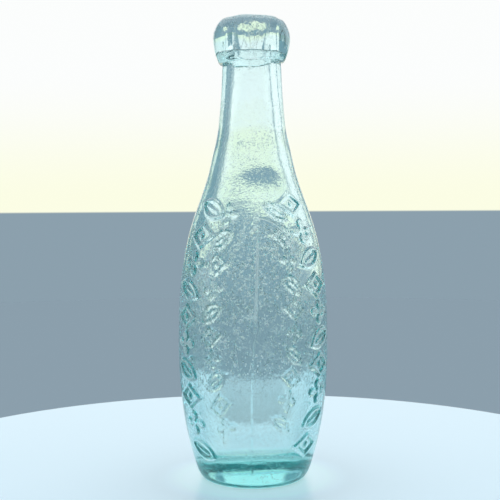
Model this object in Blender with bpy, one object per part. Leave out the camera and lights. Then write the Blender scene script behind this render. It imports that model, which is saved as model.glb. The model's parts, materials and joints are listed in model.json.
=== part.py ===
"""Old soda bottle of thick aqua glass, in two pieces: a vessel blown in a two-part mould, and the blob lip
that was laid on in a second gather of glass over the cracked-off end of its neck. The vessel carries the
ornament of its mould in relief: columns of lozenges, leaves and flowers.

Metres, +Z up. The origin is the centre of the ring that the bottle stands on, and Z is the bottle's axis.
"""

import math
from collections import namedtuple
from functools import partial

import bmesh
import bpy

MM = 0.001

# Foot and heel, outside
FOOT_RADIUS = 21.6 * MM  # outer edge of the flat ring that stands on the table
FOOT_WIDTH = 3.0 * MM  # width of that ring
PUSH_UP_DEPTH = 1.8 * MM  # hollow pressed up under the base
HEEL_RADIUS = 5.6 * MM  # rounding from the ring to the side
HEEL_LEAN = 0.37  # growth of the radius for each unit of height where the heel ends

# Body and neck, outside: heights are each counted from the one below
BELLY_HEIGHT = 69.0 * MM  # widest place, above the table
BELLY_RADIUS = 36.2 * MM
SHOULDER_ABOVE_BELLY = 62.6 * MM  # where the belly's curve turns into the throat's
SHOULDER_RADIUS = 26.7 * MM
SHOULDER_LEAN = -0.38
THROAT_ABOVE_SHOULDER = 23.0 * MM
THROAT_RADIUS = 19.5 * MM
THROAT_LEAN = -0.205
NECK_ABOVE_THROAT = 19.4 * MM
NECK_RADIUS = 15.85 * MM
NECK_LENGTH = 32.0 * MM  # straight taper up to the cracked-off end inside the lip
NECK_TAPER = -0.053

# Inside: the wall is thinnest at the belly and thick in the base and the throat
BASE_THICKNESS = 7.8 * MM  # at the axis
FLOOR_RADIUS = 18.0 * MM  # flat middle of the inner floor
FLOOR_TILT = 0.25  # the glass set with its floor higher at the front (-Y) and lower at the back
FLOOR_TILT_FADE = 26.0 * MM  # height above the floor over which the tilt dies away
INNER_HEEL_RADIUS = 5.0 * MM  # rounding from the floor to the inner wall
INNER_HEEL_LEAN = 0.25
BELLY_WALL = 5.2 * MM
SHOULDER_WALL = 5.6 * MM
THROAT_WALL = 4.9 * MM
NECK_WALL = 4.2 * MM
BORE_RADIUS = 9.3 * MM  # at the neck's end, and through the lip

# Lip, in heights above its own lower edge
LIP_HEIGHT = 21.0 * MM
LIP_RADIUS = 18.65 * MM  # its widest place
LIP_GIRTH_HEIGHT = 11.2 * MM  # height of that place
LIP_SKIRT_LEAN = 0.50  # growth of the radius for each unit of height at the lower edge
LIP_SKIRT_RADIUS = 16.0 * MM
LIP_EDGE_ROUNDING = 0.6 * MM  # under the lower edge
LAND_RADIUS = 12.0 * MM  # outer edge of the flat top
MOUTH_ROUNDING = 0.9 * MM  # from the flat top into the bore
SOCKET_DEPTH = 5.0 * MM  # how far the lip comes down over the neck
LIP_DROOP = 0.55 * MM  # the lower edge hangs lower at -X and higher at +X, as it was tooled
JOINT_GAP = 0.3 * MM  # between the neck and the lip, all over

# Mould seams: one line up the front and one up the back, from the heel to just under the lip
SEAM_WIDTH = 1.4 * MM
SEAM_HEIGHT = 0.35 * MM
SEAM_FADE = 6.0 * MM  # length over which each end dies away
SEAM_BELOW_LIP = 4.0 * MM

# Ornament moulded on the outside: columns of motifs, one pair in front and one pair behind
MOTIF_ROWS = 10
LOWEST_MOTIF = 20.5 * MM  # height of its centre
HIGHEST_ABOVE_SHOULDER = 1.4 * MM
RELIEF_HEIGHT = 0.85 * MM
RELIEF_ROOT = 1.2 * MM  # how deep a motif is rooted in the wall
RELIEF_SLOPE = 0.4 * MM  # a stroke's foot is this much wider than its top, on each side
FRONT_BEARING = math.radians(60)  # of the front columns at the belly, from the front seam
FRONT_BOW = math.radians(-4400)  # their change of bearing for each square metre of height from the belly
BACK_BEARING = math.radians(137)
BACK_BOW = math.radians(3000)
COLUMNS = (  # side, bearing, bow, how many pitches it is lowered, and the kind of its lowest motif
    (1, FRONT_BEARING, FRONT_BOW, 0, 0),
    (-1, FRONT_BEARING, FRONT_BOW, 1 / 6, 1),
    (1, BACK_BEARING, BACK_BOW, 1 / 4, 1),
    (-1, BACK_BEARING, BACK_BOW, 5 / 12, 2),
)

# Motifs, each from its centre to its edge
LOZENGE_WIDTH = 8.4 * MM
LOZENGE_HEIGHT = 5.9 * MM
LOZENGE_OPENING = 0.65  # the open middle as a share of the whole
PELLET = 1.7 * MM  # from its centre to its points
LEAF_LENGTH = 8.3 * MM
LEAF_WIDTH = 4.2 * MM
LEAF_CORNER = (0.53, 0.76)  # of the rim between tip and middle, as shares of the length and the width
LEAF_OPENING = 0.64
LEAF_TILT = math.radians(24)
VEIN_LENGTH = 4.6 * MM
VEIN_WIDTH = 0.8 * MM
PETAL_REACH = 6.9 * MM  # to a petal's tip
PETAL_MIDDLE = 3.9 * MM  # to where it is widest
PETAL_WIDTH = 2.4 * MM  # from its own middle line
PETAL_NOTCH = 1.9 * MM  # across and up to the corner between two petals
FLOWER_SQUASH = 0.8  # a flower is less high than wide

# Facets
SIDES = 52
ROUNDING_STEPS = 4
BODY_STEPS = 8
THROAT_STEPS = 4
SMOOTH_ANGLE = math.radians(40)
WELD = 0.001 * MM  # points closer than this are one point
TOUCHING = 0.01 * MM  # how near counts as on a plane or at a height
SLIVER = 0.004 * MM  # points closer than this where the ornament meets the wall are one point

VESSEL_COLOUR = (0.55, 0.82, 0.80, 1.0)
LIP_COLOUR = (0.60, 0.82, 0.85, 1.0)

Knot = namedtuple("Knot", "height radius lean")
Place = namedtuple("Place", "side bearing height")  # of a motif's centre, its bearing from the front seam


def clear_scene():
    for item in list(bpy.data.objects):
        bpy.data.objects.remove(item, do_unlink=True)


def glass(name, colour):
    """Clear, slightly tinted glass."""
    material = bpy.data.materials.new(name)
    material.use_nodes = True
    shader = material.node_tree.nodes["Principled BSDF"]
    shader.inputs["Base Color"].default_value = colour
    shader.inputs["Roughness"].default_value = 0.04
    shader.inputs["Metallic"].default_value = 0.0
    shader.inputs["Transmission Weight"].default_value = 1.0
    shader.inputs["IOR"].default_value = 1.52
    return material


def rounded_corner(flat_radius, rounding, lean, height):
    """Arc that leaves a level floor at flat_radius and turns up until it leans out by lean.
    Gives its (radius, height) points, and the knot where it ends."""
    turn = math.atan2(1, lean)
    points = []
    for step in range(ROUNDING_STEPS + 1):
        angle = turn * step / ROUNDING_STEPS
        points.append((flat_radius + rounding * math.sin(angle), height + rounding * (1 - math.cos(angle))))
    radius, top = points[-1]
    return points, Knot(top, radius, lean)


def radius_between(low, high, height):
    """Radius at a height on the smooth curve between two knots, which has their leans at its ends."""
    span = high.height - low.height
    t = (height - low.height) / span
    from_low = (1 + 2 * t) * low.radius + t * span * low.lean
    from_high = (3 - 2 * t) * high.radius - (1 - t) * span * high.lean
    return (1 - t) ** 2 * from_low + t**2 * from_high


def radius_at(knots, height):
    """Radius at a height on the curve through a row of knots."""
    for low, high in zip(knots, knots[1:]):
        if height <= high.height:
            break
    return radius_between(low, high, height)


def curve(knots, steps):
    """(radius, height) points up a row of knots, without the first, in as many steps between each pair."""
    points = []
    for low, high, count in zip(knots, knots[1:], steps):
        for step in range(1, count + 1):
            height = low.height + (high.height - low.height) * step / count
            points.append((radius_between(low, high, height), height))
    return points


def straight(low_knot, length, lean):
    """The knot at the upper end of a straight taper."""
    return Knot(low_knot.height + length, low_knot.radius + length * lean, lean)


def outer_knots():
    """Outside of the vessel, from the end of the heel to the end of the neck."""
    heel_end = rounded_corner(FOOT_RADIUS, HEEL_RADIUS, HEEL_LEAN, 0)[1]
    belly = Knot(BELLY_HEIGHT, BELLY_RADIUS, 0)
    shoulder = Knot(belly.height + SHOULDER_ABOVE_BELLY, SHOULDER_RADIUS, SHOULDER_LEAN)
    throat = Knot(shoulder.height + THROAT_ABOVE_SHOULDER, THROAT_RADIUS, THROAT_LEAN)
    neck = Knot(throat.height + NECK_ABOVE_THROAT, NECK_RADIUS, NECK_TAPER)
    return [heel_end, belly, shoulder, throat, neck, straight(neck, NECK_LENGTH, NECK_TAPER)]


def inner_knots(outer):
    """Inside of the vessel, from the end of the inner heel to the bore at the end of the neck."""
    floor_height = PUSH_UP_DEPTH + BASE_THICKNESS
    heel_end = rounded_corner(FLOOR_RADIUS, INNER_HEEL_RADIUS, INNER_HEEL_LEAN, floor_height)[1]
    _, belly, shoulder, throat, neck, end = outer
    bore_taper = (BORE_RADIUS - (neck.radius - NECK_WALL)) / NECK_LENGTH
    return [
        heel_end,
        Knot(belly.height, belly.radius - BELLY_WALL, belly.lean),
        Knot(shoulder.height, shoulder.radius - SHOULDER_WALL, shoulder.lean),
        Knot(throat.height, throat.radius - THROAT_WALL, throat.lean),
        Knot(neck.height, neck.radius - NECK_WALL, bore_taper),
        Knot(end.height, BORE_RADIUS, bore_taper),
    ]


def vessel_outline(outer):
    """Section of the vessel from the middle of its underside, up the outside, and down the inside."""
    ring_inner = FOOT_RADIUS - FOOT_WIDTH
    under = []
    for step in range(ROUNDING_STEPS + 1):
        share = step / ROUNDING_STEPS
        under.append((ring_inner * share, PUSH_UP_DEPTH * (1 - share**2)))
    steps = (BODY_STEPS, BODY_STEPS, THROAT_STEPS, THROAT_STEPS, THROAT_STEPS)
    outside = rounded_corner(FOOT_RADIUS, HEEL_RADIUS, HEEL_LEAN, 0)[0] + curve(outer, steps)
    floor_height = PUSH_UP_DEPTH + BASE_THICKNESS
    inside = [(0, floor_height)]
    inside += rounded_corner(FLOOR_RADIUS, INNER_HEEL_RADIUS, INNER_HEEL_LEAN, floor_height)[0]
    inside += curve(inner_knots(outer), steps)
    return under + outside + inside[::-1]


def lip_outline(outer):
    """Section of the lip as a closed loop, in heights above its lower edge: up the outside, over the top,
    down the bore, out over the neck's end and down the socket."""
    neck_end = outer[-1]
    socket_top = neck_end.radius + JOINT_GAP
    socket_foot = socket_top - SOCKET_DEPTH * NECK_TAPER
    skirt = Knot(LIP_EDGE_ROUNDING, LIP_SKIRT_RADIUS, LIP_SKIRT_LEAN)
    girth = Knot(LIP_GIRTH_HEIGHT, LIP_RADIUS, 0)
    loop = [(skirt.radius - LIP_EDGE_ROUNDING, 0), (skirt.radius, skirt.height)]
    loop += curve([skirt, girth], (BODY_STEPS,))
    for step in range(1, BODY_STEPS + 1):
        angle = math.pi / 2 * step / BODY_STEPS
        loop.append(
            (
                LAND_RADIUS + (LIP_RADIUS - LAND_RADIUS) * math.cos(angle),
                LIP_GIRTH_HEIGHT + (LIP_HEIGHT - LIP_GIRTH_HEIGHT) * math.sin(angle),
            )
        )
    for step in range(ROUNDING_STEPS + 1):
        angle = math.pi / 2 * step / ROUNDING_STEPS
        loop.append(
            (
                BORE_RADIUS + MOUTH_ROUNDING * (1 - math.sin(angle)),
                LIP_HEIGHT - MOUTH_ROUNDING * (1 - math.cos(angle)),
            )
        )
    ceiling = SOCKET_DEPTH + JOINT_GAP
    loop += [(BORE_RADIUS, ceiling), (socket_top, ceiling), (socket_foot, 0)]
    return loop


def turn(outline, closed):
    """Turns a section round the Z axis. A section that isn't closed has both its ends on the axis."""
    solid = bmesh.new()
    verts = [solid.verts.new((radius, 0, height)) for radius, height in outline]
    edges = [solid.edges.new(pair) for pair in zip(verts, verts[1:])]
    if closed:
        edges.append(solid.edges.new((verts[-1], verts[0])))
    bmesh.ops.spin(
        solid,
        geom=verts + edges,
        cent=(0, 0, 0),
        axis=(0, 0, 1),
        angle=2 * math.pi,
        steps=SIDES,
        use_merge=True,
    )
    bmesh.ops.remove_doubles(solid, verts=solid.verts, dist=WELD)
    bmesh.ops.recalc_face_normals(solid, faces=solid.faces)
    return solid


def raise_seams(solid, outer):
    """Lifts a narrow ridge up the front and the back of the vessel, where the halves of its mould met."""
    bottom = outer[0].height
    top = outer[-1].height - SOCKET_DEPTH - SEAM_BELOW_LIP

    def outside(point):
        """Is this on the outer wall, within the run of the seams?"""
        if not bottom - TOUCHING <= point.z <= top:
            return False
        return math.hypot(point.x, point.y) > radius_at(outer, point.z) - BELLY_WALL / 2

    for side in (-1, 1):
        wall = [face for face in solid.faces if all(outside(vert.co) for vert in face.verts)]
        edges = {edge for face in wall for edge in face.edges}
        verts = {vert for face in wall for vert in face.verts}
        bmesh.ops.bisect_plane(
            solid,
            geom=wall + list(edges) + list(verts),
            plane_co=(side * SEAM_WIDTH / 2, 0, 0),
            plane_no=(1, 0, 0),
            dist=TOUCHING,
        )
    for vert in solid.verts:
        if abs(vert.co.x) < TOUCHING and outside(vert.co):
            fade = min(1, (vert.co.z - bottom) / SEAM_FADE, (top - vert.co.z) / SEAM_FADE)
            vert.co.y += math.copysign(SEAM_HEIGHT * max(0, fade), vert.co.y)


def tilt_floor(solid, outer):
    """Tilts the inner floor, and less and less of the inner wall above it."""
    floor = PUSH_UP_DEPTH + BASE_THICKNESS
    for vert in solid.verts:
        above = (vert.co.z - floor) / FLOOR_TILT_FADE
        if -TOUCHING < above < 1:
            radius = math.hypot(vert.co.x, vert.co.y)
            if radius < radius_at(outer, vert.co.z) - BELLY_WALL / 2:
                vert.co.z -= FLOOR_TILT * vert.co.y * (1 - above) ** 2 * (1 + 2 * above)


def ellipse_like(width, height, count):
    """Corners of a pointed oval, or of a lozenge where there are four."""
    corners = []
    for step in range(count):
        angle = 2 * math.pi * step / count
        corners.append((width * math.cos(angle), height * math.sin(angle)))
    return corners


def scaled(corners, share):
    return [(across * share, up * share) for across, up in corners]


def tilted(corners, angle):
    cos, sin = math.cos(angle), math.sin(angle)
    return [(across * cos - up * sin, across * sin + up * cos) for across, up in corners]


def lozenge():
    """Outlines of a lozenge frame with a pellet in it, as pairs of an outer and an inner outline."""
    frame = ellipse_like(LOZENGE_WIDTH, LOZENGE_HEIGHT, 4)
    return [(frame, scaled(frame, LOZENGE_OPENING)), (ellipse_like(PELLET, PELLET, 4), None)]


def leaf():
    """Outlines of a tilted leaf frame with a vein in it."""
    along, across = LEAF_LENGTH * LEAF_CORNER[0], LEAF_WIDTH * LEAF_CORNER[1]
    frame = [(LEAF_LENGTH, 0), (along, across), (0, LEAF_WIDTH), (-along, across)]
    frame += [(-x, -y) for x, y in frame]
    vein = ellipse_like(VEIN_LENGTH, VEIN_WIDTH, 4)
    return [
        (tilted(frame, LEAF_TILT), tilted(scaled(frame, LEAF_OPENING), LEAF_TILT)),
        (tilted(vein, LEAF_TILT), None),
    ]


def flower():
    """Outline of a flower of four petals."""
    petal = [(PETAL_REACH, 0), (PETAL_MIDDLE, PETAL_WIDTH), (PETAL_NOTCH, PETAL_NOTCH)]
    petal.append((PETAL_WIDTH, PETAL_MIDDLE))
    corners = []
    for turns in range(4):
        corners += tilted(petal, math.pi / 2 * turns)
    return [([(across, up * FLOWER_SQUASH) for across, up in corners], None)]


def widened(corners, amount):
    """The same outline with every corner moved away from the middle of the outline."""
    middle = (sum(c[0] for c in corners) / len(corners), sum(c[1] for c in corners) / len(corners))
    moved = []
    for across, up in corners:
        away = math.hypot(across - middle[0], up - middle[1])
        share = 1 + amount / away
        moved.append((middle[0] + (across - middle[0]) * share, middle[1] + (up - middle[1]) * share))
    return moved


def on_wall(outer, place, across, up, above):
    """Point at distances across and up from a motif's place, and at a distance above the wall."""
    height = place.height + up
    radius = radius_at(outer, height)
    bearing = place.side * (place.bearing + across / radius)
    radius += above
    return (radius * math.sin(bearing), -radius * math.cos(bearing), height)


def add_stroke(solid, outer_outline, inner_outline, onto_wall):
    """Adds one closed raised block, or a ring where it has an inner outline."""
    layers = []
    for above, spread in ((RELIEF_HEIGHT, -RELIEF_SLOPE / 2), (-RELIEF_ROOT, RELIEF_SLOPE)):
        loops = [widened(outer_outline, spread)]
        if inner_outline:
            loops.append(widened(inner_outline, -spread))
        layers.append([[solid.verts.new(onto_wall(*corner, above)) for corner in loop] for loop in loops])
    top, root = layers
    count = len(outer_outline)
    for k in range(count):
        after = (k + 1) % count
        solid.faces.new((top[0][k], root[0][k], root[0][after], top[0][after]))
        if inner_outline:
            solid.faces.new((top[1][after], root[1][after], root[1][k], top[1][k]))
            solid.faces.new((top[0][k], top[0][after], top[1][after], top[1][k]))
            solid.faces.new((root[0][after], root[0][k], root[1][k], root[1][after]))
    if not inner_outline:
        solid.faces.new(top[0])
        solid.faces.new(root[0][::-1])


def make_ornament(outer):
    """All the motifs as one object of closed blocks that are rooted in the wall."""
    solid = bmesh.new()
    belly, shoulder = outer[1], outer[2]
    pitch = (shoulder.height + HIGHEST_ABOVE_SHOULDER - LOWEST_MOTIF) / (MOTIF_ROWS - 1)
    for side, bearing, bow, lowered, first in COLUMNS:
        for row in range(MOTIF_ROWS):
            height = LOWEST_MOTIF + (row - lowered) * pitch
            place = Place(side, bearing + bow * (height - belly.height) ** 2, height)
            motif = (lozenge, leaf, flower)[(row + first) % 3]
            for outer_outline, inner_outline in motif():
                add_stroke(solid, outer_outline, inner_outline, partial(on_wall, outer, place))
    bmesh.ops.triangulate(solid, faces=solid.faces)
    bmesh.ops.recalc_face_normals(solid, faces=solid.faces)
    mesh = bpy.data.meshes.new("ornament")
    solid.to_mesh(mesh)
    solid.free()
    item = bpy.data.objects.new("ornament", mesh)
    bpy.context.scene.collection.objects.link(item)
    return item


def unite(item, other):
    """Makes one solid of an object and another, which goes."""
    modifier = item.modifiers.new("unite", "BOOLEAN")
    modifier.operation = "UNION"
    modifier.solver = "EXACT"
    modifier.object = other
    united = bpy.data.meshes.new_from_object(item.evaluated_get(bpy.context.evaluated_depsgraph_get()))
    item.modifiers.clear()
    solid = bmesh.new()
    solid.from_mesh(united)
    bmesh.ops.remove_doubles(solid, verts=solid.verts, dist=SLIVER)
    bmesh.ops.dissolve_degenerate(solid, edges=solid.edges, dist=SLIVER)
    solid.to_mesh(united)
    solid.free()
    united.name = item.name
    item.data = united
    bpy.data.objects.remove(other, do_unlink=True)


def droop_edge(solid):
    """Lets the lip's lower edge hang unevenly, fading out at the girth."""
    for vert in solid.verts:
        if vert.co.z < LIP_GIRTH_HEIGHT:
            fade = 1 - vert.co.z / LIP_GIRTH_HEIGHT
            vert.co.z += LIP_DROOP * fade * vert.co.x / LIP_SKIRT_RADIUS


def place(name, solid, material, height):
    """Makes a named object of a solid, shaded smooth, with its own origin at a height on the axis."""
    mesh = bpy.data.meshes.new(name)
    solid.to_mesh(mesh)
    solid.free()
    mesh.materials.append(material)
    mesh.shade_smooth()
    mesh.set_sharp_from_angle(angle=SMOOTH_ANGLE)
    item = bpy.data.objects.new(name, mesh)
    item.location.z = height
    bpy.context.scene.collection.objects.link(item)
    return item


def make_vessel(outer):
    solid = turn(vessel_outline(outer), closed=False)
    raise_seams(solid, outer)
    tilt_floor(solid, outer)
    vessel = place("blown_vessel", solid, glass("vessel_glass", VESSEL_COLOUR), 0)
    unite(vessel, make_ornament(outer))
    return vessel


def make_lip(outer):
    solid = turn(lip_outline(outer), closed=True)
    droop_edge(solid)
    return place("applied_lip", solid, glass("lip_glass", LIP_COLOUR), outer[-1].height - SOCKET_DEPTH)


def main():
    clear_scene()
    outer = outer_knots()
    vessel = make_vessel(outer)
    lip = make_lip(outer)
    bottle = bpy.data.objects.new("soda_bottle", None)
    bpy.context.scene.collection.objects.link(bottle)
    vessel.parent = bottle
    lip.parent = bottle


main()
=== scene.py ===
"""Looks of the old soda bottle: a mould-blown vessel of thick aqua glass and its hand-tooled blob lip.

Metres, +Z up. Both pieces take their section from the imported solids, so the glass keeps their shape and size.
A bearing is an angle round the bottle, counted from its front (-Y) towards its right (+X).
"""

import json
import math

import bmesh
import bpy
import numpy as np
from mathutils import Matrix, Vector

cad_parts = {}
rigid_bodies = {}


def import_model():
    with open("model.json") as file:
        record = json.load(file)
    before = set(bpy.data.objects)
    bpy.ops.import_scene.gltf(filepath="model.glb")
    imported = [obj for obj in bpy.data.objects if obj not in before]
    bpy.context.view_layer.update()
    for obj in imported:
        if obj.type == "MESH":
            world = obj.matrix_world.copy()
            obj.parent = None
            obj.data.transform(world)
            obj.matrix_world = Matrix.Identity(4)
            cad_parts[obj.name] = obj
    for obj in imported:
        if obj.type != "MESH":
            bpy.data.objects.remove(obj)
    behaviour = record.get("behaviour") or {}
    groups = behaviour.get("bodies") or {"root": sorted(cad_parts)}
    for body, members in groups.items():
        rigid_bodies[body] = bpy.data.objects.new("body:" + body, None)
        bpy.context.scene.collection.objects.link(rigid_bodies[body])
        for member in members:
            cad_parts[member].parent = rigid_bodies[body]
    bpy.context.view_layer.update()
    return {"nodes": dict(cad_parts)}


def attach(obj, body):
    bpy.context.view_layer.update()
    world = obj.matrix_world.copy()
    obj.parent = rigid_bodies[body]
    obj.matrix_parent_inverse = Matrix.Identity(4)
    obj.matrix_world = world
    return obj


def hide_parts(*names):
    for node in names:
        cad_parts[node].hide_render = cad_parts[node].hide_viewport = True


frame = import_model()

MM = 0.001

# Camera, as solved from the photograph's ellipses
CAMERA_DISTANCE = 0.4855
CAMERA_HEIGHT = 0.1328
CAMERA_LENS = 72.0
CAMERA_PITCH = math.radians(-2.58)
CAMERA_YAW = math.radians(0.15)
CAMERA_ROLL = math.radians(-0.3)

# How finely the sections are drawn
CORNER_ANGLE = math.radians(30)  # a section turns sharper than this only at an edge
SHARP_ANGLE = math.radians(60)
FINE_STEP = 0.55 * MM  # along the ornamented stretch of the outside
COARSE_STEP = 1.5 * MM  # along the rest of the outside
INNER_STEP = 2.2 * MM
NECK_END_STEP = 0.5 * MM
NECK_END_FROM = 200 * MM
LIP_STEP = 0.5 * MM
LIP_COLUMNS = 280
HALF_COLUMNS = (4, 14, 42, 16, 42, 6, 4)  # grid columns between the places named in column_bearings
SPREAD = np.cumsum((0,) + HALF_COLUMNS)
FLOOR_ROWS = 10

# How near two places are the same one
WELD = 0.01 * MM
IN_PLANE = 0.02 * MM
AT_CEILING = 0.005 * MM
AT_BORE = 0.05 * MM
SIDE_FROM_RADIUS = 22 * MM  # the outside's rows beyond this radius are its side

# Ornament moulded on the outside, laid out as on the solid: columns of motifs, one pair in front, one behind
LOWEST_MOTIF = 20.5 * MM
MOTIF_PITCH = 12.5 * MM
MOTIF_ROWS = 10
MOTIF_HALF_WIDTH = 8.0 * MM
MOTIF_REACH = 1.2 * MOTIF_HALF_WIDTH  # nothing of a motif is further from its column's middle line
RELIEF_HEIGHT = 0.85 * MM
BELLY_HEIGHT = 69 * MM
FRONT = (math.radians(60), math.radians(-4400))  # bearing at the belly, and how it bows away from there
BACK = (math.radians(137), math.radians(3000))
# Side, bearing, how far each column is lowered as a share of the pitch, and its lowest motif's kind
COLUMNS = ((1, FRONT, 0, 0), (-1, FRONT, 1 / 6, 1), (1, BACK, 1 / 4, 1), (-1, BACK, 5 / 12, 2))
ORNAMENTED_FROM = 14 * MM
ORNAMENTED_TO = 142 * MM
LAYOUT_FADE = (145 * MM, 170 * MM)  # above the ornament the grid's columns spread evenly

# Motifs, in mm from their centres; strokes and pellets by half their width
RELIEF_EDGE = 0.42  # half the width of a stroke's sloping edge
LOZENGE_CORNERS = (8.4, 5.9)
LOZENGE_DEPTH = 4.83  # square to its sides
LOZENGE_LINE = 0.825  # where its stroke runs, as a share of the way out
LOZENGE_STROKE = 0.85
LOZENGE_PELLET = 1.3
LEAF_TILT = math.radians(24)
LEAF_ARC_RADIUS = 9.5
LEAF_ARC_CENTRE = 6.1  # beyond the leaf's other side
LEAF_STROKE = 0.8
VEIN_REACH = 4.4
VEIN_STROKE = 0.5
PETALS = 4
PETAL_CENTRE = 4.2
PETAL_REACH = 2.7
PETAL_SPREAD = 2.2
FLOWER_PELLET = 2.0
FLOWER_SQUASH = 0.8  # a flower is less high than wide

# Mould seams, by level: how far they stand out, how far the front one wanders, and how worn it is
SEAM_HALF_ZONE = 1.6 * MM
SEAM_HALF_WIDTH = 0.55 * MM
SEAM_LEVELS = np.array([8, 14, 45, 75, 88, 112, 122, 150, 190, 197]) * MM
SEAM_RISE = np.array([0, 0.3, 0.5, 0.4, 0.6, 0.6, 0.2, 0.05, 0.04, 0]) * MM
SEAM_WANDER = np.array([-0.7, -0.7, -0.7, 0.8, 1.6, 2.3, 2.2, 1.0, 0, 0]) * MM
SEAM_WORN = np.array([0, 0, 0, 0, 0.9, 0.9, 0, 0, 0, 0])
SEAM_WEAR_FADE = (0.2 * MM, 1.1 * MM)  # off its middle line

# The inner floor slopes down to the back and a little to the left
FLOOR_TILT_BACK = 0.25
FLOOR_TILT_LEFT = 0.03
TILT_FADE = 26 * MM

# Where the neck's end sits in the lip
PLAIN_FROM = (196 * MM, 200 * MM)  # under the lip the wall runs true
IN_LIP_FROM = 198 * MM
JOINT_OVERLAP = 0.03 * MM  # the fused pieces run this far into each other
BROKEN_EDGE = 0.55 * MM  # rounding of the cracked-off end's outer corner, which leaves a groove in the glass
BROKEN_EDGE_HEIGHT = 0.6 * MM
# The waves in the cracked-off end: how many go round, their size in mm and their phase
BREAK_WAVES = (
    (1, 0.22, 0.9),
    (2, 0.20, 2.3),
    (3, 0.16, 4.0),
    (5, 0.12, 1.1),
    (9, 0.10, 5.2),
    (14, 0.06, 0.4),
)
BREAK_FADE = 6 * MM  # above the neck's end the bore soon runs true

# Lip
LIP_DROOP = 0.55 * MM  # the lower edge hangs lower at the left
EDGE_WAVE = 0.16 * MM
EDGE_WAVES = 5
EDGE_PHASE = 1.0
LIP_SWELL_FADE = 3 * MM  # the skin swells by degrees above the lower edge

# A chip out of the lip's right shoulder: a scallop with fine ripples
CHIP_CENTRE = np.array([13.3, -4.5, 223.2]) * MM
CHIP_RADII = np.array([3.0, 9.5, 2.8]) * MM
CHIP_RIPPLE = 0.04  # as a share of the radii
CHIP_WAVES = (14, 9)  # how close the ripples lie, across and along

# How uneven the skins are: seed, size, and the shortest and longest waves
OUTER_SWELL = (1, 0.012 * MM, 9 * MM, 30 * MM)
OUTER_RIPPLE = (2, 0.005 * MM, 4 * MM, 9 * MM)
INNER_SWELL = (3, 0.03 * MM, 14 * MM, 34 * MM)
INNER_RIPPLE = (4, 0.006 * MM, 6 * MM, 12 * MM)
SEAM_SWELL = (5, 0.35, 1.5 * MM, 6 * MM)  # its size is a share of the seam's rise
LIP_SWELL = (11, 0.08 * MM, 7 * MM, 24 * MM)
FOOT_FADE = (3 * MM, 12 * MM)  # heights over which the outside's unevenness starts
# Thick and thin places of the wall: bearing and spread in radians, height and length, and size
LUMPS = (
    (0.38, 0.48, 141.5 * MM, 7 * MM, 0.8 * MM),
    (-0.25, 0.45, 133 * MM, 8 * MM, -0.35 * MM),
)

# Wear: how much of it each worn place has, and where that is
FOOT_WEAR = 0.6
FOOT_WEAR_HEIGHT = 0.6 * MM
FOOT_WEAR_FROM = (17 * MM, 19 * MM)  # off the axis
BELLY_WEAR = 0.3
BELLY_WEAR_SPREAD = 26 * MM
RELIEF_WEAR = 0.25
RELIEF_WEAR_AT_BELLY = 0.35  # this much more
RELIEF_WEAR_FROM = (0.5, 0.95)  # shares of the ornament's height
SEAM_WEAR = 1.2
KNOCK = (-1.5 * MM, 82 * MM)  # x and z of a knocked place on the front
KNOCK_WEAR = 0.55
KNOCK_SPREAD = (4 * MM, 1.6 * MM)
CRACK_DEPTH = (1.0 * MM, 0.4 * MM)  # the cracked-off end is dull from this far below its top
LIP_WEAR_DEPTH = 5 * MM  # down from the lip's top

# Glass: its tint all through
CLEAR = (0.972, 1.0, 1.0)
SCUFFED = (0.86, 1.0, 1.0)
REFRACTION = 1.52
ABSORB_COLOUR = (0.27, 0.845, 0.85, 1.0)
LIP_ABSORB_COLOUR = (0.6, 0.9, 0.9, 1.0)
ABSORB_DENSITY = 30.0

# Its skin: hammered, with a finer grain, and a rougher stretch in the throat.
# Each noise is a size, a detail and, where it matters, a roughness.
HAMMER_NOISE = (2.4 * MM, 2.0, 0.6)
HAMMER_HEIGHT = 0.013 * MM
GRAIN_NOISE = (0.9 * MM, 1.0)
GRAIN_HEIGHT = 0.014 * MM
ROUGH_FROM = (124 * MM, 134 * MM)
ROUGH_TO = (166 * MM, 150 * MM)
ROUGH_GAIN = 0.9
PIT_DEPTH = 0.16 * MM

# Its marks lie in patches, most of them in a band round the body
PATCH_NOISE = (14 * MM, 3.0)
STAIN_FROM = (40 * MM, 65 * MM)
STAIN_TO = (135 * MM, 115 * MM)
STAIN_ELSEWHERE = 0.15
STAIN_PATCHES = (0.32, 0.55)
LIP_PATCHES = (0.45, 0.75)
# Specks: spacing, largest size, and how rare they are
FINE_SPECKS = (1.1 * MM, 0.5 * MM, 0.35)
COARSE_SPECKS = (2.4 * MM, 1.0 * MM, 0.4)
SPECK_CORE = 0.6  # share of a speck that is full strength
SMALLEST_SPECK = 1e-4
JITTER_SIZE = 1.1 * MM  # of the noise that pulls the coarse specks out of round
JITTER_REACH = 1.6 * MM
# Scratches: spacing, width, and how many there are
LONG_SCRATCHES = (9 * MM, 0.16 * MM, 0.42)
SHORT_SCRATCHES = (4 * MM, 0.1 * MM, 0.36)
SCRATCH_LEAN = (1.0, 1.0, 0.45)  # they run up rather than round
SCRATCH_CORE = 0.3
SCRATCH_PATCH = 0.6  # size of the patches that keep them, as a share of the spacing
SCRATCH_END = 0.02
SCUFF_NOISE = (0.8 * MM, 3.0, 0.7)
SCUFF_FROM = (0.3, 0.5)
# A faint arc that the mould's round plate left on the front
PLATE_HEIGHT = 108 * MM
PLATE_RADIUS = 18.7 * MM
PLATE_LINE = (0.3 * MM, 0.1 * MM)
PLATE_FRONT = (-20 * MM, -22 * MM)
PLATE_RIGHT = (1 * MM, 4 * MM)
PLATE_UP = (2 * MM, 6 * MM)
# A film of dried drink, with its tide mark low in the body
FILM_NOISE = (1.6 * MM, 4.0, 0.7)
FILM_FROM = (0.4, 0.75)
TIDE_FROM = (20 * MM, 26 * MM)
TIDE_TO = (40 * MM, 34 * MM)
TIDE_GAIN = 2.5
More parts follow.
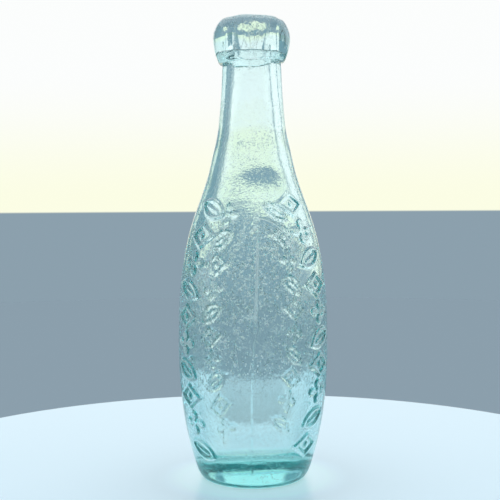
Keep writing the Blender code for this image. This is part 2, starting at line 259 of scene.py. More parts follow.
# How cloudy and how rough they make the glass
MARK_CLOUD = 0.3
SCUFF_CLOUD = 0.7
FILM_CLOUD = 0.06
MARK_ROUGHNESS = 0.38
SCUFF_ROUGHNESS = 0.8

# Floor: a sill round the bottle, and a duller floor beyond it
SILL_COLOUR = (0.66, 0.84, 0.95)
SILL_REACH = 0.21
SILL_ROUGHNESS = 0.3
SILL_SHINE = 0.5
FAR_COLOUR = (0.279, 0.349, 0.406)
FLOOR_REACH = 0.95  # beyond it the world below the horizon is seen
FAR_ROUGHNESS = 0.9
FAR_SHINE = 0.0
FLOOR_SIDES = 96
FLOOR_DROP = 0.05 * MM  # just under the foot
# Painted shade: a darker stretch of the sill behind the bottle, which shows through the glass only
PAINTED_SHADE_NEAR_COLOUR = (0.25, 0.37, 0.44)
PAINTED_SHADE_FAR_COLOUR = (0.38, 0.53, 0.62)
PAINTED_SHADE_FROM = (0.115, 0.13)
PAINTED_SHADE_FAR_FROM = (0.14, 0.19)
PAINTED_SHADE_ASIDE = (0.074, 0.05)
PAINTED_SHADE_RIPPLE = 0.04
RIPPLE_NOISE = (14 * MM, 3.0)
# Painted light: an emission glow on the sill under the bottle, standing in for the light that the glass gathers
# there
PAINTED_GLOW_REACH = (50 * MM, 14 * MM)
PAINTED_GLOW_COLOUR = (0.26, 0.38, 0.37, 1.0)

# World: its tone round the horizon, by degrees to the right of straight ahead
WHITE = (0.97, 0.985, 0.98)
DULL = (0.22, 0.33, 0.39)
DIM = (0.18, 0.25, 0.29)
AROUND = (
    (-180, DIM),
    (-116, DIM),
    (-108, WHITE),
    (-74, WHITE),
    (-70, DULL),
    (-26, DULL),
    (-22, WHITE),
    (22, WHITE),
    (23.5, DULL),
    (29, DULL),
    (31, WHITE),
    (108, WHITE),
    (116, DIM),
    (180, DIM),
)
LOW_TINT = (1.0, 1.0, 0.8)
UPPER = (0.3, 0.37, 0.40)
UPPER_BACK = (1.1, 1.15, 1.17)
OVERHEAD = (1.15, 1.2, 1.22)
BELOW = (0.262, 0.352, 0.418)
BELOW_BACK = (0.98, 0.98, 0.76)
SEEN_THROUGH = 1.13  # how much brighter the surroundings are than they look straight at them
# Where one tone gives way to the next, in the direction's upward or forward share
LOW_BELOW = (0.13, 0.0)
UPPER_FROM = (0.42, 0.5)
UPPER_BACK_FROM = (0.15, 0.4)
OVERHEAD_FROM = (0.68, 0.84)
HORIZON = (-0.0055, -0.0075)
BELOW_BACK_FROM = (0.85, 0.91)
BELOW_BACK_UNDER = (-0.098, -0.108)

BOUNCES = 32  # light that runs to and fro inside the thick base still comes out


def smooth_between(low, high, value):
    """0 below low, 1 above high, and smooth between."""
    t = np.clip((value - low) / (high - low), 0, 1)
    return t * t * (3 - 2 * t)


def uneven(points, seed, size, shortest, longest, count=24):
    """Gentle unevenness of about the given size at each point, from waves in random directions."""
    rng = np.random.default_rng(seed)
    length = shortest * (longest / shortest) ** rng.random(count)
    heading = rng.normal(size=(count, 3))
    heading *= (2 * math.pi / length / np.linalg.norm(heading, axis=1))[:, None]
    phase = rng.random(count) * 2 * math.pi
    return size * math.sqrt(2 / count) * np.cos(points @ heading.T + phase).sum(axis=-1)


def section(node, azimuth):
    """The (radius, height) points of a turned node's section at an azimuth, in order from its lowest end."""
    solid = bmesh.new()
    solid.from_mesh(frame["nodes"][node].data)
    bmesh.ops.remove_doubles(solid, verts=solid.verts, dist=WELD)
    out = Vector((math.cos(azimuth), math.sin(azimuth), 0))
    side = Vector((-out.y, out.x, 0))
    inside = {v for v in solid.verts if abs(v.co.dot(side)) < IN_PLANE and v.co.dot(out) > -IN_PLANE}
    links = {v: [e.other_vert(v) for e in v.link_edges if e.other_vert(v) in inside] for v in inside}
    ends = [v for v in inside if len(links[v]) == 1]
    path = [min(ends or inside, key=lambda v: (v.co.z, v.co.dot(out)))]
    path.append(max(links[path[0]], key=lambda v: v.co.dot(out)))
    while len(path) < len(inside):
        path.append(next(v for v in links[path[-1]] if v is not path[-2]))
    points = np.array([(v.co.dot(out), v.co.z) for v in path])
    solid.free()
    return points


def smooth_run(points, fineness=24):
    """Closely spaced points on a smooth curve through a row of points."""
    if len(points) == 2:
        return points[0] + (points[1] - points[0]) * np.linspace(0, 1, 2 * fineness)[:, None]
    chord = np.linalg.norm(np.diff(points, axis=0), axis=1)
    slope = np.diff(points, axis=0) / chord[:, None]
    weights = slope[:-1] * chord[1:, None] + slope[1:] * chord[:-1, None]
    tangent = np.empty_like(points)
    tangent[1:-1] = weights / (chord[1:] + chord[:-1])[:, None]
    tangent[0] = 2 * slope[0] - tangent[1]
    tangent[-1] = 2 * slope[-1] - tangent[-2]
    t = np.linspace(0, 1, fineness, endpoint=False)[:, None]
    pieces = []
    for i, length in enumerate(chord):
        pieces.append(
            (1 + 2 * t) * (1 - t) ** 2 * points[i]
            + t * (1 - t) ** 2 * length * tangent[i]
            + t**2 * (3 - 2 * t) * points[i + 1]
            - t**2 * (1 - t) * length * tangent[i + 1]
        )
    return np.vstack(pieces + [points[-1:]])


def smooth(points, step_at, closed=False):
    """A section drawn smooth between its corners, its points step_at(radius, height) apart."""
    if closed:
        points = np.vstack([points, points[:1]])
    way = np.diff(points, axis=0)
    heading = np.arctan2(way[:, 1], way[:, 0])
    bend = np.abs((np.diff(heading) + math.pi) % (2 * math.pi) - math.pi)
    corners = [0, *(np.flatnonzero(bend > CORNER_ANGLE) + 1), len(points) - 1]
    rows = []
    for first, last in zip(corners, corners[1:]):
        run = smooth_run(points[first : last + 1])
        length = np.linalg.norm(np.diff(run, axis=0), axis=1)
        middle = (run[1:] + run[:-1]) / 2
        wanted = np.concatenate([[0], np.cumsum(length / [step_at(r, z) for r, z in middle])])
        count = max(1, round(wanted[-1]))
        at = np.linspace(0, wanted[-1], count, endpoint=False)
        rows.append(np.column_stack([np.interp(at, wanted, run[:, k]) for k in (0, 1)]))
    if not closed:
        rows.append(points[-1:])
    return np.vstack(rows)


def section_normals(rows):
    """Unit normals of a section that runs up the outside first, pointing out of the glass."""
    way = np.gradient(rows, axis=0)
    normals = np.column_stack([way[:, 1], -way[:, 0]])
    return normals / np.linalg.norm(normals, axis=1)[:, None]


def ring_quads(index):
    """Quads between the rows of a grid of point numbers that is closed round the axis."""
    right = np.roll(index, -1, axis=1)
    return np.stack([index[:-1], right[:-1], right[1:], index[1:]], axis=-1).reshape(-1, 4).tolist()


def turned(radius, bearing, height):
    """Points from rows by columns of radius, bearing and height."""
    radius, bearing, height = np.broadcast_arrays(radius, bearing, height)
    return np.stack([radius * np.sin(bearing), -radius * np.cos(bearing), height], axis=-1)


def turn_from(middle, bearing):
    """The angle from a middle bearing to others, the short way round."""
    return (bearing - middle + math.pi) % (2 * math.pi) - math.pi


def glass_piece(name, verts, faces, wear):
    """An object of one closed mesh, facing out and shaded smooth, that knows how worn each point is."""
    mesh = bpy.data.meshes.new(name)
    mesh.from_pydata(verts.tolist(), [], faces)
    solid = bmesh.new()
    solid.from_mesh(mesh)
    bmesh.ops.recalc_face_normals(solid, faces=solid.faces)
    if solid.calc_volume(signed=True) < 0:
        bmesh.ops.reverse_faces(solid, faces=solid.faces)
    solid.to_mesh(mesh)
    solid.free()
    mesh.shade_smooth()
    mesh.set_sharp_from_angle(angle=SHARP_ANGLE)
    mesh.attributes.new("wear", "FLOAT", "POINT").data.foreach_set("value", wear.astype(np.float32))
    piece = bpy.data.objects.new(name, mesh)
    bpy.context.scene.collection.objects.link(piece)
    return piece


def lozenge(u, v):
    """Distance in mm from the strokes of an outlined lozenge with a pellet."""
    wide, high = LOZENGE_CORNERS
    outline = np.abs(np.abs(u) / wide + np.abs(v) / high - LOZENGE_LINE) * LOZENGE_DEPTH - LOZENGE_STROKE
    return np.minimum(outline, np.hypot(u, v) - LOZENGE_PELLET)


def leaf(u, v):
    """The same from an outlined leaf with a vein."""
    along = u * math.cos(LEAF_TILT) + v * math.sin(LEAF_TILT)
    across = np.abs(v * math.cos(LEAF_TILT) - u * math.sin(LEAF_TILT))
    outline = np.abs(np.hypot(along, across + LEAF_ARC_CENTRE) - LEAF_ARC_RADIUS) - LEAF_STROKE
    vein = np.maximum(across - VEIN_STROKE, np.abs(along) - VEIN_REACH)
    return np.minimum(outline, vein)


def flower(u, v):
    """The same from petals round a pellet."""
    part = 2 * math.pi / PETALS
    away = np.hypot(u, v / FLOWER_SQUASH)
    turn = (np.arctan2(v / FLOWER_SQUASH, u) + part / 2) % part - part / 2
    along = (away * np.cos(turn) - PETAL_CENTRE) / PETAL_REACH
    petal = (np.hypot(along, away * np.sin(turn) / PETAL_SPREAD) - 1) * PETAL_SPREAD
    return np.minimum(petal, away - FLOWER_PELLET)


MOTIFS = (lozenge, leaf, flower)


def bowed(bearing_and_bow, level):
    """Bearing of a column of motifs at a level."""
    bearing, bow = bearing_and_bow
    return bearing + bow * (level - BELLY_HEIGHT) ** 2


def ornament(bearing, height, radius):
    """How far the moulded ornament stands out at each place on the outside."""
    relief = np.zeros(bearing.shape)
    for side, course, lowered, first in COLUMNS:
        row = np.round((height - LOWEST_MOTIF) / MOTIF_PITCH + lowered)
        level = LOWEST_MOTIF + (row - lowered) * MOTIF_PITCH
        u = (side * bearing - bowed(course, level)) * radius / MM
        v = np.broadcast_to((height - level) / MM, u.shape)
        kind = np.broadcast_to((row + first) % len(MOTIFS), u.shape).astype(int)
        distance = np.choose(kind, [motif(u, v) for motif in MOTIFS])
        within = (row >= 0) & (row < MOTIF_ROWS) & (np.abs(u) < MOTIF_REACH / MM)
        relief += np.where(within, 1 - smooth_between(-RELIEF_EDGE, RELIEF_EDGE, distance), 0)
    return RELIEF_HEIGHT * relief


def column_bearings(height, radius):
    """Bearings of the grid's columns at a height, which run along the seams and the ornament."""
    level = min(max(height, ORNAMENTED_FROM), ORNAMENTED_TO)
    wide = MOTIF_HALF_WIDTH / radius
    seam = SEAM_HALF_ZONE / radius
    front, back = bowed(FRONT, level), bowed(BACK, level)
    places = [0, seam, front - wide, front + wide, back - wide, back + wide, math.pi - seam, math.pi]
    count = SPREAD[-1]
    drawn = np.interp(np.arange(count + 1), SPREAD, places)
    evenly = np.linspace(0, math.pi, count + 1)
    half = drawn + (evenly - drawn) * smooth_between(*LAYOUT_FADE, height)
    wander = np.interp(height, SEAM_LEVELS, SEAM_WANDER) / radius
    pull = wander * np.clip(1 - half / places[2], 0, 1)
    right, left = half + pull, half - pull
    return np.concatenate([right, -left[-2:0:-1]])


def neck_break(bearing):
    """Height of the cracked-off end of the neck above its mean."""
    return MM * sum(size * np.cos(count * bearing + phase) for count, size, phase in BREAK_WAVES)


def outer_step(radius, height):
    """How far apart the outside's rows are at a place."""
    if height > NECK_END_FROM:
        return NECK_END_STEP
    return FINE_STEP if ORNAMENTED_FROM < height < ORNAMENTED_TO else COARSE_STEP


def inner_step(radius, height):
    """The same for the inside."""
    return NECK_END_STEP if height > NECK_END_FROM else INNER_STEP


def lip_step(radius, height):
    """The same for the lip."""
    return LIP_STEP


def neck_radius(outside, height):
    """Radius of the neck's straight taper at a height, also a little beyond its end."""
    (low, below), (end, top) = outside[-2], outside[-1]
    return end + (top - height) * (low - end) / (top - below)


def seams(points, bearing, radius, height):
    """How far the mould seams stand out at each place, and how worn the front one is."""
    wander = np.interp(height, SEAM_LEVELS, SEAM_WANDER)
    front = np.abs(turn_from(0, bearing) * radius - wander)
    behind = np.abs(turn_from(math.pi, bearing) * radius)
    near = sum(1 - smooth_between(0, SEAM_HALF_WIDTH, off) for off in (front, behind))
    rise = np.interp(height, SEAM_LEVELS, SEAM_RISE) * near * (1 + uneven(points, *SEAM_SWELL))
    crest = 1 - smooth_between(*SEAM_WEAR_FADE, front)
    return rise, np.interp(height, SEAM_LEVELS, SEAM_WORN) * crest


def outer_wear(points, radius, height, raised):
    """How worn the foot, the belly, the ornament, a knock on the front and the cracked-off end are."""
    foot = (1 - smooth_between(0, FOOT_WEAR_HEIGHT, height)) * smooth_between(*FOOT_WEAR_FROM, radius)
    belly = np.exp(-(((height - BELLY_HEIGHT) / BELLY_WEAR_SPREAD) ** 2))
    tops = smooth_between(*RELIEF_WEAR_FROM, raised)
    across = (points[..., 0] - KNOCK[0]) / KNOCK_SPREAD[0]
    above = (height - KNOCK[1]) / KNOCK_SPREAD[1]
    knock = np.exp(-(across**2) - above**2) * (points[..., 1] < 0)
    crack = smooth_between(height[-1] - CRACK_DEPTH[0], height[-1] - CRACK_DEPTH[1], height)
    worn = FOOT_WEAR * foot + BELLY_WEAR * belly + (RELIEF_WEAR + RELIEF_WEAR_AT_BELLY * belly) * tops
    return worn + KNOCK_WEAR * knock + crack


def vessel_outside(outside):
    """Points of the outer skin, rows by columns, and how worn each is."""
    radius, height = outside[:, :1], outside[:, 1:]
    side = outside[np.argmax(outside[:, 0] > SIDE_FROM_RADIUS) :]
    within = np.clip(outside[:, 1], ORNAMENTED_FROM, ORNAMENTED_TO)
    layout = zip(outside[:, 1], np.interp(within, side[:, 1], side[:, 0]))
    bearing = np.array([column_bearings(z, r) for z, r in layout])
    plain = turned(radius, bearing, height)
    moulded = ornament(bearing, height, radius)
    wavy = uneven(plain, *OUTER_SWELL) + uneven(plain, *OUTER_RIPPLE)
    wavy *= smooth_between(*FOOT_FADE, height) * (1 - smooth_between(*PLAIN_FROM, height))
    seam_rise, seam_worn = seams(plain, bearing, radius, height)
    out = moulded + seam_rise + wavy
    normal = section_normals(outside)
    end = outside[-1, 1]
    broken = smooth_between(IN_LIP_FROM, end, height) * neck_break(bearing)
    lifted = height + out * normal[:, 1:] + broken
    moved = np.where(height > IN_LIP_FROM, neck_radius(outside, lifted), radius + out * normal[:, :1])
    moved = moved - BROKEN_EDGE * smooth_between(end - BROKEN_EDGE_HEIGHT, end, height)
    worn = outer_wear(plain, radius, height, moulded / RELIEF_HEIGHT) + SEAM_WEAR * seam_worn
    return turned(moved, bearing, np.maximum(lifted, 0)), np.clip(worn, 0, 1)


def thick_places(bearing, height):
    """How much thicker than usual the wall is."""
    extra = 0
    for middle, spread, level, length, size in LUMPS:
        off = turn_from(middle, bearing) / spread
        extra = extra + size * np.exp(-(off**2) - ((height - level) / length) ** 2)
    return extra


def vessel_inside(inside, columns):
    """Points of the inner skin, rows by columns, down to the sloping floor."""
    bearing = np.linspace(0, 2 * math.pi, columns, endpoint=False)[None, :]
    radius, height = inside[:, :1], inside[:, 1:]
    plain = turned(radius, bearing, height)
    wavy = uneven(plain, *INNER_SWELL) + uneven(plain, *INNER_RIPPLE)
    wavy *= 1 - smooth_between(*PLAIN_FROM, height)
    wavy += thick_places(bearing, height)
    normal = section_normals(inside)
    broken = smooth_between(IN_LIP_FROM, inside[0, 1], height) * neck_break(bearing)
    points = turned(radius + wavy * normal[:, :1], bearing, height + wavy * normal[:, 1:] + broken)
    above = np.clip((height - inside[-1, 1]) / TILT_FADE, 0, 1)
    fade = (1 - above) ** 2 * (1 + 2 * above)
    points[..., 2] += fade * (FLOOR_TILT_LEFT * points[..., 0] - FLOOR_TILT_BACK * points[..., 1])
    return points


def vessel_sections():
    """The vessel's smooth section outside, up to the neck's end, and inside, down to the floor's middle."""
    profile = section("blown_vessel", 0)
    floor_edge, floor = profile[-1]
    across = np.linspace(floor_edge, 0, FLOOR_ROWS)[1:, None]
    profile = np.vstack([profile, np.hstack([across, np.full_like(across, floor)])])
    top = int(np.argmax(profile[:, 1] > profile[:, 1].max() - WELD))
    return smooth(profile[: top + 1], outer_step), smooth(profile[top:], inner_step)[1:]


def make_vessel(outside, inside):
    """The vessel's closed skin: fine columns outside, half as many inside, joined at the neck's end."""
    outer, worn = vessel_outside(outside)
    columns = outer.shape[1]
    half = columns // 2
    inner = vessel_inside(inside, half)
    verts = np.vstack([outer[0, :1], outer[1:].reshape(-1, 3), inner[:-1].reshape(-1, 3), inner[-1, :1]])
    wear = np.zeros(len(verts))
    wear[: 1 + worn[1:].size] = np.concatenate([worn[0, :1], worn[1:].ravel()])
    out_index = 1 + np.arange(outer[1:, :, 0].size).reshape(-1, columns)
    in_index = out_index.max() + 1 + np.arange(inner[:-1, :, 0].size).reshape(-1, half)
    faces = ring_quads(out_index) + ring_quads(in_index)
    under, above = out_index[0].tolist(), in_index[-1].tolist()
    rim, bore = out_index[-1].tolist(), in_index[0].tolist()
    for k in range(columns):
        faces.append((0, under[k - 1], under[k]))
    for k in range(half):
        faces.append((len(verts) - 1, above[k], above[k - 1]))
        first, second, third = (rim[(2 * k + step) % columns] for step in range(3))
        onward = bore[(k + 1) % half]
        faces += [(first, second, onward, bore[k]), (second, third, onward)]
    return glass_piece("vessel_glass_body", verts, faces, wear)


def chipped(points):
    """The lip's points with those in the chip pushed down to its scalloped face."""
    away = (points - CHIP_CENTRE) / CHIP_RADII
    distance = np.linalg.norm(away, axis=-1, keepdims=True)
    across, along = CHIP_WAVES
    face = 1 + CHIP_RIPPLE * np.cos(across * away[..., :1] - along * away[..., 1:2])
    return np.where(distance < face, CHIP_CENTRE + away / distance * face * CHIP_RADII, points)


def lip_section(outside):
    """The lip's section, its socket and ceiling laid on the neck's outside and end."""
    profile = section("applied_lip", math.pi / 2)
    ceiling = outside[-1, 1] - JOINT_OVERLAP
    profile[0, 0] = neck_radius(outside, profile[0, 1]) - JOINT_OVERLAP
    profile[-1] = (outside[-1, 0] - JOINT_OVERLAP, ceiling)
    profile[-2, 1] = ceiling
    return profile


def lip_zones(profile, radius, height):
    """Which of the lip's rows lie in its socket, and which on its outside."""
    bore_radius, ceiling_height = profile[-2]
    ceiling = np.abs(height - ceiling_height) < AT_CEILING
    bore = (radius < bore_radius + AT_BORE) & ~ceiling
    socket = (radius < profile[0, 0] + AT_BORE) & (height < ceiling_height) & ~ceiling
    return socket, ~(ceiling | bore | socket)


def make_lip(outside):
    """The lip's closed skin, fused over the neck's end along the neck's own outside."""
    profile = lip_section(outside)
    foot, ceiling, top = profile[0, 1], profile[-1, 1], profile[:, 1].max()
    girth, end = profile[np.argmax(profile[:, 0]), 1], outside[-1, 1]
    rows = smooth(profile, lip_step, closed=True)
    normal = section_normals(np.vstack([rows[-1:], rows, rows[:1]]))[1:-1]
    bearing = np.linspace(0, 2 * math.pi, LIP_COLUMNS, endpoint=False)[None, :]
    radius, height = rows[:, :1], rows[:, 1:]
    socket, outer = lip_zones(profile, radius, height)
    swell = np.where(outer, uneven(turned(radius, bearing, height), *LIP_SWELL), 0)
    swell = swell * smooth_between(foot, foot + LIP_SWELL_FADE, height)
    edge = np.where(outer, 1 - np.clip((height - foot) / (girth - foot), 0, 1), 0)
    edge = np.where(socket, 1 - smooth_between(foot, ceiling, height), edge)
    droop = edge * (LIP_DROOP * np.sin(bearing) + EDGE_WAVE * np.cos(EDGE_WAVES * bearing + EDGE_PHASE))
    near_end = smooth_between(foot, ceiling, height) * (1 - smooth_between(end, end + BREAK_FADE, height))
    broken = np.where(outer, 0, near_end) * neck_break(bearing)
    lifted = height + swell * normal[:, 1:] + droop + broken
    moved = np.where(socket, neck_radius(outside, lifted) - JOINT_OVERLAP, radius + swell * normal[:, :1])
    points = chipped(turned(moved, bearing, lifted))
    worn = np.where(outer, smooth_between(top - LIP_WEAR_DEPTH, top, height), 0)
    worn = np.broadcast_to(worn, points.shape[:2])
    index = np.arange(worn.size).reshape(worn.shape)
    faces = ring_quads(np.vstack([index, index[:1]]))
    return glass_piece("tooled_lip", points.reshape(-1, 3), faces, worn.ravel())


def node(tree, kind, **values):
    """A new node with its properties set."""
    made = tree.nodes.new(kind)
    for key, value in values.items():
        setattr(made, key, value)
    return made


def feed(tree, made, inputs):
    """Sets or links a node's inputs by name or number."""
    for key, value in inputs.items():
        if isinstance(value, bpy.types.NodeSocket):
            tree.links.new(value, made.inputs[key])
        else:
            made.inputs[key].default_value = value
    return made


def maths(tree, operation, first, second=0.0):
    """One sum."""
    return feed(tree, node(tree, "ShaderNodeMath", operation=operation), {0: first, 1: second}).outputs[0]


def product(tree, first, *others):
    """All the values multiplied together."""
    for other in others:
        first = maths(tree, "MULTIPLY", first, other)
    return first


def largest(tree, first, *others):
    """The largest of all the values."""
    for other in others:
        first = maths(tree, "MAXIMUM", first, other)
    return first


def axes(tree, vector):
    """A vector's parts along X, Y and Z."""
    return feed(tree, node(tree, "ShaderNodeSeparateXYZ"), {0: vector}).outputs


def smoothstep(tree, value, low, high):
    """0 below low, 1 above high, and smooth between; the other way round where low is above high."""
    first, last = (0.0, 1.0) if low < high else (1.0, 0.0)
    ends = {"From Min": min(low, high), "From Max": max(low, high), "To Min": first, "To Max": last}
    made = node(tree, "ShaderNodeMapRange", interpolation_type="SMOOTHSTEP")
    return feed(tree, made, {"Value": value, **ends}).outputs[0]


def band(tree, value, rise, fall):
    """1 between two stretches over which it rises and falls, and 0 outside them."""
    return product(tree, smoothstep(tree, value, *rise), smoothstep(tree, value, *fall))


def blend(tree, factor, first, second):
    """Colour between two others."""
    made = node(tree, "ShaderNodeMix", data_type="RGBA")
    first, second = ((*c, 1) if isinstance(c, tuple) else c for c in (first, second))
    return feed(tree, made, {"Factor": factor, "A": first, "B": second}).outputs["Result"]


def noise(tree, place, size, detail=2.0, roughness=0.5):
    """Noise with features of about a size, from 0 to 1."""
    made = node(tree, "ShaderNodeTexNoise")
    feed(tree, made, {"Vector": place, "Scale": 1 / size, "Detail": detail, "Roughness": roughness})
    return made.outputs["Fac"]


def specks(tree, place, spacing, size, rarity):
    """Small round specks in random sizes; only cells whose random number is above rarity have one."""
    made = node(tree, "ShaderNodeTexVoronoi", feature="F1")
    feed(tree, made, {"Vector": place, "Scale": 1 / spacing})
    number = feed(tree, node(tree, "ShaderNodeSeparateColor"), {0: made.outputs["Color"]}).outputs[0]
    reach = product(tree, smoothstep(tree, number, rarity, 1.0), size / spacing)
    away = maths(tree, "DIVIDE", made.outputs["Distance"], maths(tree, "ADD", reach, SMALLEST_SPECK))
    return smoothstep(tree, away, 1.0, SPECK_CORE)


def scratches(tree, place, spacing, width, amount):
    """Thin broken lines."""
    bent = feed(tree, node(tree, "ShaderNodeVectorMath", operation="MULTIPLY"), {0: place, 1: SCRATCH_LEAN})
    made = node(tree, "ShaderNodeTexVoronoi", feature="DISTANCE_TO_EDGE")
    feed(tree, made, {"Vector": bent.outputs[0], "Scale": 1 / spacing})
    line = smoothstep(tree, made.outputs["Distance"], width / spacing, SCRATCH_CORE * width / spacing)
    patches = noise(tree, place, SCRATCH_PATCH * spacing, 1.0)
    return product(tree, line, smoothstep(tree, patches, 1 - amount, 1 + SCRATCH_END - amount))


def plate_arc(tree, place):
    """A fine arc of a circle, up and to the right of the middle of the front."""
    across, along, up = axes(tree, place)
    above = maths(tree, "SUBTRACT", up, PLATE_HEIGHT)
    squares = maths(tree, "ADD", product(tree, across, across), product(tree, above, above))
    off = maths(tree, "ABSOLUTE", maths(tree, "SUBTRACT", maths(tree, "SQRT", squares), PLATE_RADIUS))
    front = smoothstep(tree, along, *PLATE_FRONT)
    part = product(tree, smoothstep(tree, across, *PLATE_RIGHT), smoothstep(tree, above, *PLATE_UP))
    return product(tree, smoothstep(tree, off, *PLATE_LINE), front, part)


def stains(tree, place, height, of_body):
    """Where the glass is marked most: in patches, which on the body lie in a band."""
    patches = noise(tree, place, *PATCH_NOISE)
    if not of_body:
        return smoothstep(tree, patches, *LIP_PATCHES)
    most = product(tree, band(tree, height, STAIN_FROM, STAIN_TO), 1 - STAIN_ELSEWHERE)
    return product(tree, maths(tree, "ADD", most, STAIN_ELSEWHERE), smoothstep(tree, patches, *STAIN_PATCHES))


def dots_and_lines(tree, place, stain, wear):
    """Specks, the coarse ones pulled out of round, and scratches."""
    jitter = node(tree, "ShaderNodeTexNoise")
    feed(tree, jitter, {"Vector": place, "Scale": 1 / JITTER_SIZE, "Detail": 1.0})
    shaken = node(tree, "ShaderNodeVectorMath", operation="MULTIPLY_ADD")
    feed(tree, shaken, {0: jitter.outputs["Color"], 1: (JITTER_REACH,) * 3, 2: place})
    dots = largest(tree, specks(tree, place, *FINE_SPECKS), specks(tree, shaken.outputs[0], *COARSE_SPECKS))
    lines = largest(tree, scratches(tree, place, *LONG_SCRATCHES), scratches(tree, place, *SHORT_SCRATCHES))
    return largest(tree, product(tree, dots, stain), product(tree, lines, largest(tree, stain, wear)))


def dried_film(tree, place, height, stain, of_body):
    """How thick the film is, with the body's tide mark."""
    tide = product(tree, band(tree, height, TIDE_FROM, TIDE_TO), TIDE_GAIN if of_body else 0)
    mottle = smoothstep(tree, noise(tree, place, *FILM_NOISE), *FILM_FROM)
    return product(tree, largest(tree, tide, stain), mottle)


def skin_bump(tree, place, height, marked, of_body):
    """Normals of the hammered skin, rougher in the throat, with a pit at each mark."""
    hammered = product(tree, noise(tree, place, *HAMMER_NOISE), HAMMER_HEIGHT)
    grain = product(tree, noise(tree, place, *GRAIN_NOISE), GRAIN_HEIGHT)
    extra = product(tree, band(tree, height, ROUGH_FROM, ROUGH_TO), ROUGH_GAIN if of_body else 0)
    relief = product(tree, maths(tree, "ADD", hammered, grain), maths(tree, "ADD", extra, 1))
    relief = maths(tree, "SUBTRACT", relief, product(tree, marked, PIT_DEPTH))
    bump = node(tree, "ShaderNodeBump")
    feed(tree, bump, {"Height": maths(tree, "DIVIDE", relief, MM), "Distance": MM, "Strength": 1.0})
    return bump.outputs["Normal"]


def glass(name, absorb_colour, of_body):
    """Thick pressed glass: tinted all through, with a slightly hammered skin, marks and worn edges."""
    material = bpy.data.materials.new(name)
    material.use_nodes = True
    tree = material.node_tree
    place = node(tree, "ShaderNodeTexCoord").outputs["Object"]
    height = axes(tree, place)["Z"]
    wear = node(tree, "ShaderNodeAttribute", attribute_name="wear").outputs["Fac"]
    stain = stains(tree, place, height, of_body)
    scuff = smoothstep(tree, product(tree, wear, noise(tree, place, *SCUFF_NOISE)), *SCUFF_FROM)
    marked = largest(tree, dots_and_lines(tree, place, stain, wear), scuff)
    if of_body:
        marked = largest(tree, marked, plate_arc(tree, place))
    film = dried_film(tree, place, height, stain, of_body)
    clouds = ((marked, MARK_CLOUD), (scuff, SCUFF_CLOUD), (film, FILM_CLOUD))
    cloudy = largest(tree, *(product(tree, where, much) for where, much in clouds))
    roughness = largest(tree, product(tree, marked, MARK_ROUGHNESS), product(tree, scuff, SCUFF_ROUGHNESS))
    feed(tree, tree.nodes["Principled BSDF"], {
        "Base Color": blend(tree, scuff, CLEAR, SCUFFED),
        "IOR": REFRACTION,
        "Transmission Weight": maths(tree, "SUBTRACT", 1.0, cloudy),
        "Roughness": roughness,
        "Normal": skin_bump(tree, place, height, marked, of_body),
    })
    absorb = node(tree, "ShaderNodeVolumeAbsorption")
    feed(tree, absorb, {"Color": absorb_colour, "Density": ABSORB_DENSITY})
    feed(tree, tree.nodes["Material Output"], {"Volume": absorb.outputs[0]})
    return material


def floor_mesh(name, radii):
    """A level ring between two radii, or a disc where the first is zero."""
    turns = np.linspace(0, 2 * math.pi, FLOOR_SIDES, endpoint=False)
    rings = [[(r * math.cos(a), r * math.sin(a), 0) for a in turns] for r in radii if r]
    mesh = bpy.data.meshes.new(name)
    count = len(turns)
    if len(rings) == 1:
        mesh.from_pydata(rings[0], [], [tuple(range(count))])
    else:
        faces = [(k, count + k, count + (k + 1) % count, (k + 1) % count) for k in range(count)]
        mesh.from_pydata(rings[0] + rings[1], [], faces)
    return mesh


def floor_part(name, radii, colour, roughness, shine):
    """A part of the floor in a plain material, which is returned."""
    mesh = floor_mesh(name, radii)
    part = bpy.data.objects.new(name, mesh)
    part.location.z = -FLOOR_DROP
    bpy.context.scene.collection.objects.link(part)
    material = bpy.data.materials.new(name)
    material.use_nodes = True
    tree = material.node_tree
    looks = {"Base Color": (*colour, 1), "Roughness": roughness, "Specular IOR Level": shine}
    feed(tree, tree.nodes["Principled BSDF"], looks)
    mesh.materials.append(material)
    return material


def sill_with_painted_shade(tree, place):
    """The sill's colour, with painted shade straight behind the bottle where it isn't looked at directly."""
    across, along, _ = axes(tree, place)
    direct = node(tree, "ShaderNodeLightPath").outputs["Is Camera Ray"]
    ripple = product(tree, noise(tree, place, *RIPPLE_NOISE), PAINTED_SHADE_RIPPLE)
    behind = maths(tree, "ADD", along, ripple)
    aside = maths(tree, "ADD", maths(tree, "ABSOLUTE", across), ripple)
    # Painted shade behind the bottle, seen only through the glass and never by the camera directly
    shaded = blend(tree, smoothstep(tree, behind, *PAINTED_SHADE_FAR_FROM), PAINTED_SHADE_NEAR_COLOUR, PAINTED_SHADE_FAR_COLOUR)
    patch = product(tree, smoothstep(tree, behind, *PAINTED_SHADE_FROM), smoothstep(tree, aside, *PAINTED_SHADE_ASIDE))
    through = largest(tree, maths(tree, "SUBTRACT", patch, direct), 0.0)
    return blend(tree, through, SILL_COLOUR, shaded)


def make_floor():
    """A pale glossy sill round the bottle, with a painted glow of light (emission) under it, and a duller floor
    beyond.
    """
    tree = floor_part("sill", (0, SILL_REACH), SILL_COLOUR, SILL_ROUGHNESS, SILL_SHINE).node_tree
    place = node(tree, "ShaderNodeTexCoord").outputs["Object"]
    away = feed(tree, node(tree, "ShaderNodeVectorMath", operation="LENGTH"), {0: place}).outputs["Value"]
    feed(tree, tree.nodes["Principled BSDF"], {
        "Base Color": sill_with_painted_shade(tree, place),
        # Painted light: the sill glows under the bottle in place of light that the glass focuses there
        "Emission Color": PAINTED_GLOW_COLOUR,
        "Emission Strength": smoothstep(tree, away, *PAINTED_GLOW_REACH),
    })
    floor_part("floor", (SILL_REACH, FLOOR_REACH), FAR_COLOUR, FAR_ROUGHNESS, FAR_SHINE)


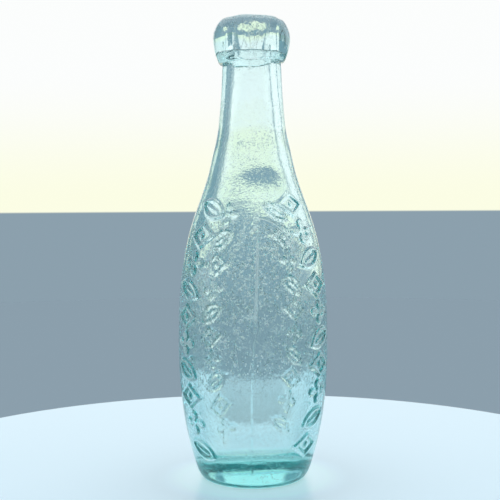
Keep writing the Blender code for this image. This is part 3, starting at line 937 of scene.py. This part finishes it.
def tones_around(tree, bearing):
    """The world's tone at a bearing from straight ahead."""
    share = maths(tree, "DIVIDE", maths(tree, "ADD", bearing, math.pi), 2 * math.pi)
    ring = feed(tree, node(tree, "ShaderNodeValToRGB"), {"Fac": share})
    stops = ring.color_ramp.elements
    while len(stops) < len(AROUND):
        stops.new(0.5)
    # A ramp sorts its stops as they move, so all are placed before any is coloured
    for stop, (degrees, _) in zip(stops, AROUND):
        stop.position = (degrees + 180) / 360
    for stop, (_, tone) in zip(stops, AROUND):
        stop.color = (*tone, 1)
    return ring.outputs["Color"]


def make_world():
    """A bright back, a bright patch at each side, a bright ceiling, and duller walls between."""
    world = bpy.data.worlds.new("studio")
    bpy.context.scene.world = world
    world.use_nodes = True
    tree = world.node_tree
    right, ahead, up = axes(tree, node(tree, "ShaderNodeTexCoord").outputs["Generated"])
    around = tones_around(tree, maths(tree, "ARCTAN2", right, ahead))
    tinted = node(tree, "ShaderNodeMix", data_type="RGBA", blend_type="MULTIPLY")
    feed(tree, tinted, {"Factor": smoothstep(tree, up, *LOW_BELOW), "A": around, "B": (*LOW_TINT, 1)})
    upper = blend(tree, smoothstep(tree, ahead, *UPPER_BACK_FROM), UPPER, UPPER_BACK)
    tone = blend(tree, smoothstep(tree, up, *UPPER_FROM), tinted.outputs["Result"], upper)
    tone = blend(tree, smoothstep(tree, up, *OVERHEAD_FROM), tone, OVERHEAD)
    deep = smoothstep(tree, up, *BELOW_BACK_UNDER)
    below = blend(tree, product(tree, smoothstep(tree, ahead, *BELOW_BACK_FROM), deep), BELOW, BELOW_BACK)
    tone = blend(tree, smoothstep(tree, up, *HORIZON), tone, below)
    direct = node(tree, "ShaderNodeLightPath").outputs["Is Camera Ray"]
    strength = maths(tree, "ADD", product(tree, direct, 1 - SEEN_THROUGH), SEEN_THROUGH)
    feed(tree, tree.nodes["Background"], {"Color": tone, "Strength": strength})


def make_camera():
    """The camera, level with the upper body and tipped slightly down."""
    camera = bpy.data.objects.new("camera", bpy.data.cameras.new("camera"))
    bpy.context.scene.collection.objects.link(camera)
    camera.data.lens = CAMERA_LENS
    camera.matrix_world = (
        Matrix.Translation(Vector((0, -CAMERA_DISTANCE, CAMERA_HEIGHT)))
        @ Matrix.Rotation(CAMERA_YAW, 4, "Z")
        @ Matrix.Rotation(math.pi / 2 + CAMERA_PITCH, 4, "X")
        @ Matrix.Rotation(CAMERA_ROLL, 4, "Z")
    )
    bpy.context.scene.camera = camera


for item in [o for o in bpy.data.objects if o.name == "Cube"]:
    bpy.data.objects.remove(item)
make_camera()
make_world()
make_floor()

outside, inside = vessel_sections()
vessel = make_vessel(outside, inside)
vessel.data.materials.append(glass("aqua_glass", ABSORB_COLOUR, True))
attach(vessel, "root")
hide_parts("blown_vessel")
lip = make_lip(outside)
lip.data.materials.append(glass("lip_aqua_glass", LIP_ABSORB_COLOUR, False))
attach(lip, "root")
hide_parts("applied_lip")

bpy.context.scene.view_settings.view_transform = "Standard"
for kind in ("max_bounces", "transmission_bounces", "glossy_bounces"):
    setattr(bpy.context.scene.cycles, kind, BOUNCES)
